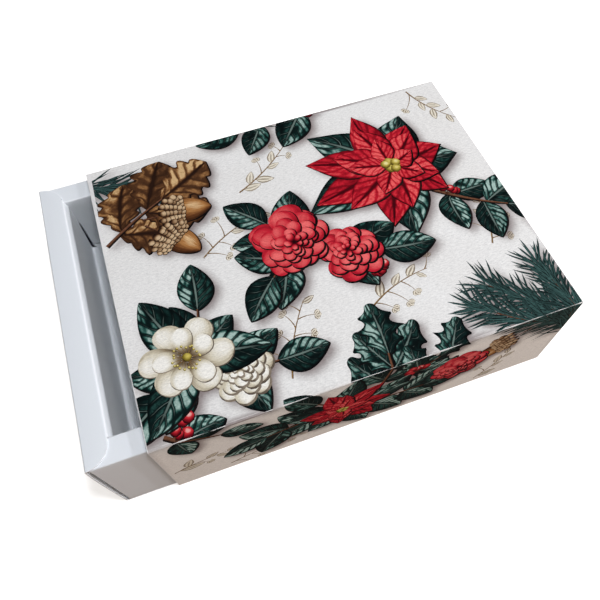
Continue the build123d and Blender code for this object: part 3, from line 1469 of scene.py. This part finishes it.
    def build(self) -> None:
        """Makes the printed sheet, folds it and dresses it."""
        path = self.path()
        bends = path.bends()
        front_crease = sum(bends[2]) / 2
        creases = [sum(bend) / 2 - front_crease for bend in bends]
        blades = [blade for motif in self.motifs() for blade in motif.blades()]
        shape = self.printed_sheet(blades, -front_crease, path.length() - front_crease, bends, front_crease)
        bmesh.ops.translate(shape, vec=(0, front_crease, 0), verts=shape.verts)
        path.fold(shape)
        materials = [ink.value.material(creases) for ink in Ink]
        materials.append(PlainCard("card_core", srgb(240, 238, 234)).material())
        members = frame["record"]["behaviour"]["bodies"]["sleeve"]
        nodes = [name for name in members if name != "sleeve_seam_tape"]
        finish_piece("printed_sleeve", shape, materials, "sleeve", nodes)

    def printed_sheet(
        self, blades: Sequence[Blade], low: float, high: float, bends: Sequence[Point], front: float
    ) -> bmesh.types.BMesh:
        """Flat sheet that is divided along the outlines of its print, with its thickness below.

        Args:
            blades: printed shapes, the lowest first.
            low: place of the glue flap's free edge.
            high: place of the back panel's free edge.
            bends: starts and ends of the bends along the outer face.
            front: place of the front crease along the outer face.

        Returns:
            The flat slab.
        """
        half = self.half_length
        corners = [Vector(corner) for corner in ((-half, low), (half, low), (half, high), (-half, high))]
        cover = PrintCover(corners, blades)
        points, edges = cover.visible_lines()
        lines = []
        for start, end in bends:
            lines += [start - front - self.guard, end - front + self.guard]
            for step in range(self.bend_steps + 1):
                lines.append(start + (end - start) * step / self.bend_steps - front)
        for place in lines:
            edges.append((len(points), len(points) + 1))
            points += [Vector((-half, place)), Vector((half, place))]
        points += cover.inner_points()
        points += self.grid_points(low, high)
        places, _, cells, _, _, _ = delaunay_2d_cdt(points, edges, [], 0, self.snap)
        shadows = DropShadows(half, low, high, blades)
        shape = bmesh.new()
        sheet_map = shape.loops.layers.uv.new(SHEET_MAP)
        motif_map = shape.loops.layers.uv.new(MOTIF_MAP)
        tone_layer = shape.faces.layers.float.new(TONE)
        shadow_layer = shape.verts.layers.float.new(SHADOW)
        verts = [shape.verts.new((place.x, place.y, 0)) for place in places]
        for vert in verts:
            vert[shadow_layer] = shadows.at(vert.co.x, vert.co.y)
        inks = list(Ink)
        for cell in cells:
            face = shape.faces.new([verts[index] for index in cell])
            blade = cover.blade_at(face.calc_center_median())
            face.material_index = inks.index(blade.ink) if blade else 0
            face[tone_layer] = blade.tone if blade else 0.5
            for loop in face.loops:
                x, y = loop.vert.co.xy
                loop[sheet_map].uv = (x, y)
                loop[motif_map].uv = blade.place_of(x, y) if blade else (0, 0)
        self.thicken(shape, lines)
        return shape

    def grid_points(self, low: float, high: float) -> List[Vector]:
        """Points of a triangular grid, which carry the soft shadows.

        Args:
            low: place of the sheet's lower edge.
            high: place of its upper edge.

        Returns:
            The points.
        """
        points = []
        rows = int((high - low) / (self.grid * self.row_share))
        for row in range(1, rows):
            shift = self.grid / 2 * (row % 2)
            columns = int((2 * self.half_length - shift) / self.grid)
            up = low + row * self.grid * self.row_share
            for column in range(1, columns):
                points.append(Vector((-self.half_length + shift + column * self.grid, up)))
        return points

    def thicken(self, shape: bmesh.types.BMesh, lines: Sequence[float]) -> None:
        """Gives the flat sheet its thickness below, in bare card that is divided at the bend lines alone.

        Args:
            shape: the flat sheet.
            lines: places of the bend lines.
        """
        printed = set(shape.faces)
        rim = [edge for edge in shape.edges if edge.is_boundary]
        grown = bmesh.ops.extrude_edge_only(shape, edges=rim)["geom"]
        below = [item for item in grown if isinstance(item, bmesh.types.BMVert)]
        bmesh.ops.translate(shape, vec=(0, 0, -CARD), verts=below)
        bmesh.ops.contextual_create(shape, geom=[edge for edge in shape.edges if edge.is_boundary])
        for place in lines:
            ends = [
                min(below, key=lambda vert: abs(vert.co.x - side) + abs(vert.co.y - place))
                for side in (-self.half_length, self.half_length)
            ]
            bmesh.ops.connect_verts(shape, verts=ends)
        for face in shape.faces:
            if face not in printed:
                face.material_index = len(Ink)
        bmesh.ops.recalc_face_normals(shape, faces=shape.faces)


@dataclass(frozen=True)
class Strip:
    """Flat strip of one wall of the tray, drawn as the front wall, from its foot over the rim and down."""

    path: FoldPath
    outline: Tuple[Point, ...]
    ripple: float
    phase: float
    # Bends whose middles take the lighter card: partly stretch whitening, partly a painted highlight along
    # the crease.
    worn_and_highlit: Tuple[int, ...] = ()
    trim: float = 0.0
    pinch: float = 0.0
    pitch: float = 6.0
    bend_guard: float = 0.5
    wear_and_highlight_reach: float = 0.3

    def shape(self) -> bmesh.types.BMesh:
        """The cut-out strip with its thickness, its creases and a grid, still flat.

        Its cut edges, a thin ring along them where it has a trim, and the middles of its worn creases take
        the second, lighter material: partly whitened card, partly a painted highlight.

        Returns:
            The mesh.
        """
        shape = bmesh.new()
        verts = [shape.verts.new((side * half, place, 0)) for side, half, place in self.round_points()]
        shape.faces.new(verts)
        low, high = self.outline[0][1], self.outline[-1][1]
        widest = max(half for half, _ in self.outline)
        places = [low + self.pitch * step for step in range(1, int((high - low) / self.pitch) + 1)]
        for start, end in self.path.bends():
            steps = max(6, min(14, round((end - start) / 2.0)))
            near, far = start - self.bend_guard, end + self.bend_guard
            places = [place for place in places if not near < place < far]
            places += [start + (end - start) * step / steps for step in range(steps + 1)]
        for place in sorted(places):
            self.cut(shape, (0, place, 0), (0, 1, 0))
        for step in range(-int(widest / self.pitch), int(widest / self.pitch) + 1):
            self.cut(shape, (step * self.pitch, 0, 0), (1, 0, 0))
        bends = self.path.bends()
        worn_and_highlit = [sum(bends[index]) / 2 for index in self.worn_and_highlit]
        for face in shape.faces:
            place = face.calc_center_median().y
            face.material_index = int(any(abs(place - middle) < self.wear_and_highlight_reach for middle in worn_and_highlit))
        # A thin ring along the cut outline takes the lighter card: partly the raw fibre edge, partly a
        # painted highlight that shows as a white line.
        if self.trim:
            ring = bmesh.ops.inset_region(shape, faces=shape.faces, thickness=self.trim, use_boundary=True)
            for face in ring["faces"]:
                face.material_index = 1
        grown = bmesh.ops.extrude_face_region(shape, geom=list(shape.faces))["geom"]
        below = [item for item in grown if isinstance(item, bmesh.types.BMVert)]
        bmesh.ops.translate(shape, vec=(0, 0, -CARD), verts=below)
        bmesh.ops.recalc_face_normals(shape, faces=shape.faces)
        # Cut edge faces take the lighter card too: partly raw fibre, partly a painted highlight.
        for face in shape.faces:
            if abs(face.normal.z) < 0.5:
                face.material_index = 1
        foot, crown = bends[0][1], bends[2][0]
        for vert in shape.verts:
            across, place = vert.co.x, vert.co.y
            vert.co.z += self.wave(across, place)
            if foot < place < crown:
                rise = math.sin(math.pi * (place - foot) / (crown - foot))
                vert.co.z -= self.pinch * rise * (abs(across) / widest) ** 8
        return shape

    def round_points(self) -> Iterator[Tuple[int, float, float]]:
        """The outline up its right side and down its left.

        Yields:
            Side, half-width and place of a point.
        """
        for half, place in self.outline:
            yield 1, half, place
        for half, place in reversed(self.outline):
            yield -1, half, place

    @staticmethod
    def cut(shape: bmesh.types.BMesh, place: Sequence[float], normal: Sequence[float]) -> None:
        """Divides the flat strip along the line through a place, square to a direction."""
        everything = [*shape.verts, *shape.edges, *shape.faces]
        bmesh.ops.bisect_plane(shape, geom=everything, dist=1e-4, plane_co=place, plane_no=normal)

    def wave(self, across: float, place: float) -> float:
        """How far the card stands off its true plane, always inwards.

        Args:
            across: place across the strip.
            place: place along it.

        Returns:
            Height over the plane, from 0 down to the ripple's depth.
        """
        swell = math.sin(across / 19.0 + self.phase) * math.cos(place / 9.0 + 2 * self.phase)
        fine = math.sin(across / 7.3 - place / 11.0 + 3 * self.phase)
        return -self.ripple * (1.3 + swell + 0.3 * fine) / 2.6


@dataclass
class Tray:
    """White tray: a base and four hollow walls, each one strip of card rolled over a rim."""

    base: Tuple[Vector, Vector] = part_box("tray_base")
    end_rim: Tuple[Vector, Vector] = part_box("left_rim")
    side_rim: Tuple[Vector, Vector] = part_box("front_rim")
    side_inner: Tuple[Vector, Vector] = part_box("front_inner_wall")
    side_tab: Tuple[Vector, Vector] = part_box("front_support_tab")
    platform: Tuple[Vector, Vector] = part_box("left_platform_flap")
    corner_tab: Tuple[Vector, Vector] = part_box("front_left_corner_tab")
    side_rim_width: float = 9.2
    end_rim_width: float = 9.1
    bow: float = 1.25
    ply_gap: float = 0.1
    roll_lean: float = 1.1
    roll_width: float = 1.1
    roll_drop: float = 3.3
    roll_radius: float = 1.5
    foot_radius: float = 1.3
    soft_crease: float = 0.8
    slit_height: float = 17.0
    wall_tuck: float = 2.9
    flap_gap: float = 0.8
    end_inner_half: float = 51.95
    tab_taper: float = 3.0
    ear_steps: int = 14
    foot_run: float = 10.0
    foot_setback: float = 0.5
    tab_notch: float = 0.1
    rim_notch: float = 0.05
    slit_ramp: Point = (0.3, 0.6)
    walls: Tuple[Tuple[str, float, float], ...] = (
        ("left", -90.0, 0.4),
        ("right", 90.0, 2.1),
        ("front", 0.0, 1.2),
        ("back", 180.0, 3.3),
    )

    def __post_init__(self) -> None:
        """Takes its measures, in millimetres, from the CAD's boxes."""
        self.centre = sum(corner[0] for corner in self.base) / 2 / MILLIMETRE
        self.half_length = self.base[1][0] / MILLIMETRE - self.centre
        self.half_width = self.base[1][1] / MILLIMETRE
        self.bottom = self.base[0][2] / MILLIMETRE
        self.top = self.end_rim[1][2] / MILLIMETRE
        self.side_top = self.side_rim[1][2] / MILLIMETRE
        self.platform_top = self.platform[1][2] / MILLIMETRE
        self.platform_half = self.platform[1][1] / MILLIMETRE
        self.platform_end = self.centre - self.platform[1][0] / MILLIMETRE
        self.end_half = self.end_rim[1][1] / MILLIMETRE

    def build(self) -> None:
        """Makes and dresses the base and the four walls."""
        card = PlainCard("white_card", srgb(238, 241, 243)).material()
        # Lighter card for cut edges and crease middles: partly raw and stretched fibre, partly a painted
        # highlight brighter than the lit rim.
        edge = PlainCard("white_card_edge_and_highlight", srgb(248, 249, 251)).material()
        dress_node("tray_base", card)
        for name, turn, phase in self.walls:
            at_end = name in ("left", "right")
            strip = self.end_strip(phase) if at_end else self.side_strip(phase)
            shape = strip.shape()
            strip.path.fold(shape)
            panels = ["outer_wall", "rim", "inner_wall"]
            if at_end:
                panels.append("platform_flap")
            else:
                self.turn_corners(shape)
                panels += ["support_tab", "left_corner_tab", "right_corner_tab"]
            spin = Matrix.Translation((self.centre, 0, 0)) @ Matrix.Rotation(math.radians(turn), 4, "Z")
            bmesh.ops.transform(shape, matrix=spin, verts=shape.verts)
            nodes = [f"{name}_{panel}" for panel in panels]
            finish_piece(f"{name}_wall_strip", shape, [card, edge], "tray", nodes)

    def end_strip(self, phase: float) -> Strip:
        """Strip of an end: bowed outer wall, eared rim, roll-over strip, inner wall and platform flap.

        Args:
            phase: where its faint waves begin.

        Returns:
            The flat strip.
        """
        end, middle = -self.half_length, (self.bottom + self.top) / 2
        half_height = self.top - middle
        bow_reach = 2 * self.bow
        bow_radius = (half_height - 2 * (SHARP_CREASE + CARD)) * half_height / bow_reach
        inner = end + self.end_rim_width + self.roll_lean
        path = FoldPath(
            (
                (end + self.foot_run, self.bottom),
                (end, self.bottom),
                (end - bow_reach, middle),
                (end, self.top),
                (end + self.end_rim_width, self.top),
                (end + self.end_rim_width + self.roll_width, self.top - self.roll_drop),
                (inner, self.platform_top),
                (-self.platform_end, self.platform_top),
            ),
            {2: bow_radius, 4: self.soft_crease, 5: self.roll_radius, 6: self.foot_radius},
        )
        foot, _, rim, edge, _, step = (sum(bend) / 2 for bend in path.bends())
        outline = [(self.end_half, foot), (self.end_half, rim)]
        ear = self.end_half - self.end_inner_half
        for count in range(1, self.ear_steps + 1):
            turn = math.pi / 2 * count / self.ear_steps
            place = rim + (edge - rim) * math.sin(turn)
            outline.append((self.end_inner_half + ear * math.cos(turn), place))
        outline += [
            (self.end_inner_half, step - self.slit_height),
            (self.platform_half - self.flap_gap, step),
            (self.platform_half - self.flap_gap, path.length()),
        ]
        return Strip(path, tuple(outline), ripple=0.16, phase=phase, worn_and_highlit=(3, 5), trim=0.22, pinch=0.85)

    def side_strip(self, phase: float) -> Strip:
        """Strip of a side: outer wall with its corner tabs, rim, inner wall and support tab.

        Args:
            phase: where its faint waves begin.

        Returns:
            The flat strip.
        """
        face = -self.half_width
        inner = face + self.side_rim_width
        tab_top = self.side_tab[1][2] / MILLIMETRE
        tab_tip = self.side_tab[1][1] / MILLIMETRE
        path = FoldPath(
            (
                (face + self.foot_run, self.bottom),
                (face, self.bottom),
                (face, self.side_top),
                (inner, self.side_top),
                (inner, tab_top),
                (tab_tip, tab_top),
            )
        )
        foot, rim, edge, tab = path.bends()
        rim_half = (self.side_rim[1][0] - self.side_rim[0][0]) / 2 / MILLIMETRE
        inner_half = (self.side_inner[1][0] - self.side_inner[0][0]) / 2 / MILLIMETRE
        tucked_half = inner_half - self.wall_tuck
        plan = self.corner_path()
        wall_half = self.half_length - CARD - self.ply_gap
        tab_root = plan.length() / 2 - self.tab_reach()
        tab_half = plan.length() / 2
        tip_width = path.length() - sum(tab) / 2
        outline = (
            (wall_half - self.foot_setback, sum(foot) / 2),
            (wall_half - self.foot_setback, foot[1]),
            (tab_root, foot[1] + self.tab_notch),
            (tab_half, foot[1] + self.tab_taper),
            (tab_half, rim[0] - self.tab_taper),
            (tab_root, rim[0] - self.tab_notch),
            (rim_half, rim[0]),
            (rim_half, edge[0]),
            (inner_half, edge[0] + self.rim_notch),
            (inner_half, sum(tab) / 2 - self.slit_height),
            (tucked_half + self.slit_ramp[0], sum(tab) / 2 - self.slit_height + self.slit_ramp[1]),
            (tucked_half, sum(tab) / 2),
            (tucked_half - tip_width, path.length()),
        )
        return Strip(path, outline, ripple=0.12, phase=phase, worn_and_highlit=(2,))

    def tab_reach(self) -> float:
        """Length of a corner tab from its crease."""
        reach = (self.corner_tab[1][1] - self.corner_tab[0][1]) / MILLIMETRE
        return reach - SHARP_CREASE - CARD

    def corner_path(self) -> FoldPath:
        """Outer face of the front wall in plan, with the corner tabs that turn in behind the end walls.

        Returns:
            The path in plan.
        """
        end = self.half_length - CARD - self.ply_gap
        tip = self.corner_tab[1][1] / MILLIMETRE
        face = -self.half_width
        return FoldPath(((end, tip), (end, face), (-end, face), (-end, tip)))

    def turn_corners(self, shape: bmesh.types.BMesh) -> None:
        """Bends the corner tabs of a folded side strip in behind the end walls.

        Args:
            shape: the folded strip, as the front wall.
        """
        plan = self.corner_path()
        runs = plan.runs()
        middle = plan.length() / 2
        for vert in shape.verts:
            place = middle - vert.co.x
            run = run_at(runs, place)
            if run is runs[2]:
                continue
            point, outward = run.at(place)
            depth = vert.co.y + self.half_width
            spot = point - outward * depth
            vert.co = (spot.x, spot.y, vert.co.z)


@dataclass(frozen=True)
class Lamp:
    """Square soft lamp that faces the box: its place, side, power and colour."""

    name: str
    place: Tuple[float, float, float]
    size: float
    watts: float
    colour: Colour

    def build(self) -> None:
        """Makes the lamp."""
        data = bpy.data.lights.new(self.name, "AREA")
        data.size = self.size * MILLIMETRE
        data.energy = self.watts
        data.color = self.colour[:3]
        lamp = bpy.data.objects.new(self.name, data)
        lamp.location = Vector(self.place) * MILLIMETRE
        lamp.rotation_euler = Vector(self.place).to_track_quat("Z", "Y").to_euler()
        bpy.context.collection.objects.link(lamp)


@dataclass
class Studio:
    """Camera, lights and floor, in the frame's axes."""

    eye: Tuple[float, float, float] = (-45.55, -123.53, 231.76)
    forward: Tuple[float, float, float] = (0.14411, 0.46725, -0.8723)
    up: Tuple[float, float, float] = (0.3013, 0.81893, 0.48844)
    lens: float = 34.243
    sensor: float = 36.0
    floor_half_side: float = 1600.0
    floor_drop: float = 0.02
    floor_glow: float = 0.6
    light_below: Colour = (0.45, 0.36, 0.31, 1.0)
    light_level: Colour = (0.28, 0.26, 0.24, 1.0)
    light_above: Colour = (0.10, 0.105, 0.11, 1.0)
    lamps: Tuple[Lamp, ...] = (
        Lamp("key_lamp", (165.0, -190.0, 940.0), 100.0, 4.3, srgb(243, 247, 255)),
        Lamp("top_lamp", (-80.0, 0.0, 900.0), 220.0, 0.6, srgb(245, 249, 255)),
        Lamp("wall_lamp", (330.0, -60.0, 760.0), 200.0, 0.85, srgb(255, 250, 248)),
        Lamp("low_lamp", (1300.0, -280.0, 578.0), 70.0, 6.6, srgb(244, 247, 255)),
        Lamp("fill_lamp", (430.0, -330.0, 180.0), 260.0, 0.45, srgb(255, 242, 233)),
    )

    def build(self) -> None:
        """Makes the camera, the world, the lamps and the floor."""
        self.make_camera()
        self.make_world()
        for lamp in self.lamps:
            lamp.build()
        self.make_floor()
        bpy.context.scene.view_settings.view_transform = "Standard"

    def make_camera(self) -> None:
        """Camera at the photograph's viewing angle."""
        data = bpy.data.cameras.new("camera")
        data.lens = self.lens
        data.sensor_width = self.sensor
        data.clip_start = 0.01
        camera = bpy.data.objects.new("camera", data)
        backward = -Vector(self.forward).normalized()
        upward = Vector(self.up)
        right = upward.cross(backward).normalized()
        upward = backward.cross(right)
        turn = Matrix((right, upward, backward)).transposed().to_4x4()
        camera.matrix_world = Matrix.Translation(Vector(self.eye) * MILLIMETRE) @ turn
        bpy.context.collection.objects.link(camera)
        bpy.context.scene.camera = camera

    def make_world(self) -> None:
        """Soft light from all round, warm and dim from below, where a table would throw it back."""
        world = bpy.data.worlds.new("studio")
        graph = Graph("studio", world)
        direction = graph.node("ShaderNodeTexCoord").outputs["Generated"]
        height = Value(graph, graph.node("ShaderNodeSeparateXYZ", None, {0: direction}).outputs[2])
        colour = graph.ramp(
            height * 0.5 + 0.5, (0.44, self.light_below), (0.5, self.light_level), (0.85, self.light_above)
        )
        background = graph.node("ShaderNodeBackground", None, {"Color": colour, "Strength": 1.0})
        graph.node("ShaderNodeOutputWorld", None, {0: background.outputs[0]})
        bpy.context.scene.world = world

    def make_floor(self) -> None:
        """Pale floor that the box stands on."""
        graph = Graph("pale_floor")
        place = graph.node("ShaderNodeTexCoord").outputs["Object"]
        colour = graph.ramp(graph.noise(place, 3.0), (0.0, srgb(253, 250, 246)), (1.0, srgb(255, 253, 250)))
        material = graph.finish(colour, roughness=0.9, specular=0.1)
        shader = next(node for node in material.node_tree.nodes if node.type == "BSDF_PRINCIPLED")
        shader.inputs["Emission Color"].default_value = srgb(255, 252, 248)
        shader.inputs["Emission Strength"].default_value = self.floor_glow
        shape = bmesh.new()
        bmesh.ops.create_grid(shape, x_segments=1, y_segments=1, size=self.floor_half_side * MILLIMETRE)
        mesh = bpy.data.meshes.new("floor")
        shape.to_mesh(mesh)
        shape.free()
        mesh.materials.append(material)
        floor = bpy.data.objects.new("floor", mesh)
        floor.location.z = -self.floor_drop * MILLIMETRE
        floor.visible_diffuse = False
        floor.visible_glossy = False
        bpy.context.collection.objects.link(floor)


def dress_node(node: str, material: bpy.types.Material) -> None:
    """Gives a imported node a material.

    Args:
        node: the node's name.
        material: the finish that it takes.
    """
    held = frame["nodes"][node]
    if not held.material_slots:
        held.data.materials.append(material)
    for slot in held.material_slots:
        slot.material = material
    log.info("dressed %s in %s", node, material.name)


def main() -> None:
    """Builds the studio and dresses the box."""
    logging.basicConfig(level=logging.INFO, format="%(message)s")
    Studio().build()
    dress_node("sleeve_seam_tape", PlainCard("seam_tape", srgb(237, 235, 230), 0.01, 0.05).material())
    Tray().build()
    Sleeve().build()


if __name__ == "__main__":
    main()
